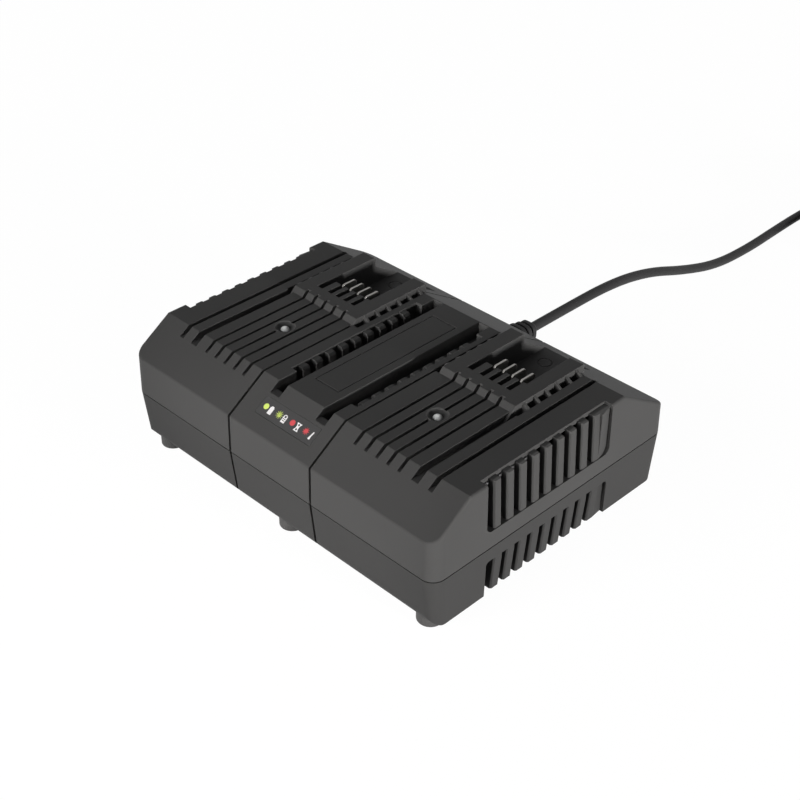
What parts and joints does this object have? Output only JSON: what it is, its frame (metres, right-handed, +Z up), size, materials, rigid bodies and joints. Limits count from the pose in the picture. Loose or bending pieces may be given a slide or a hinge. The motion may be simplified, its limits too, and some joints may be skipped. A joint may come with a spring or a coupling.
{
  "type": "power tool battery charger",
  "caption": "Low black two-dock battery charger with grooved docks, upright contact blades, cooling slots, round feet and a mains lead.",
  "frame": {"origin": "on the supporting surface, under the centre of the housing", "axes": "+X along the long side towards the right dock, +Y towards the back where the lead leaves, +Z up"},
  "size_m": [0.226, 0.569, 0.0783],
  "materials": {
    "housing_plastic": "fine matte moulded texture",
    "lens_plastic": "clear to milky",
    "label_film": "printed film",
    "contact_metal": "nickel plated",
    "block_plastic": "glass filled",
    "board_laminate": "solder mask",
    "screw_steel": "zinc plated",
    "ferrite": "dull",
    "winding_tape": "tape over copper",
    "capacitor_sleeve": "shrink sleeve",
    "heat_sink_metal": "extruded",
    "transistor_body": "moulded",
    "copper_wire": "enamelled copper",
    "fuse_glass": "clear",
    "wire_sleeve": "soft sleeve",
    "foot_rubber": "dull",
    "cord_sheath": "satin sheath",
    "plug_plastic": "satin moulded",
    "pin_metal": "plated"
  },
  "bodies": {
    "root": {"back_centre_foot": "foot_rubber", "back_left_foot": "foot_rubber", "back_right_foot": "foot_rubber", "board_screws": "screw_steel", "bulk_capacitor": "capacitor_sleeve", "contact_wires": "wire_sleeve", "cord_coil": "cord_sheath", "front_centre_foot": "foot_rubber", "front_left_foot": "foot_rubber", "front_right_foot": "foot_rubber", "housing_screws": "screw_steel", "indicator_leds": "lens_plastic", "indicator_wires": "wire_sleeve", "input_choke": "copper_wire", "input_fuse": "fuse_glass", "left_contact_1": "contact_metal", "left_contact_2": "contact_metal", "left_contact_3": "contact_metal", "left_contact_4": "contact_metal", "left_heat_sink": "heat_sink_metal", "left_indicator_board": "board_laminate", "left_indicator_lens": "lens_plastic", "left_terminal_block": "block_plastic", "legend_label": "label_film", "lower_housing": "housing_plastic", "main_circuit_board": "board_laminate", "mains_wires": "wire_sleeve", "output_capacitors": "capacitor_sleeve", "plug_body": "plug_plastic", "plug_pins": "pin_metal", "power_cord": "cord_sheath", "power_transistors": "transistor_body", "right_contact_1": "contact_metal", "right_contact_2": "contact_metal", "right_contact_3": "contact_metal", "right_contact_4": "contact_metal", "right_heat_sink": "heat_sink_metal", "right_indicator_board": "board_laminate", "right_indicator_lens": "lens_plastic", "right_terminal_block": "block_plastic", "strain_relief": "cord_sheath", "transformer_core": "ferrite", "transformer_winding": "winding_tape", "upper_housing": "housing_plastic"}
  },
  "joints": []
}
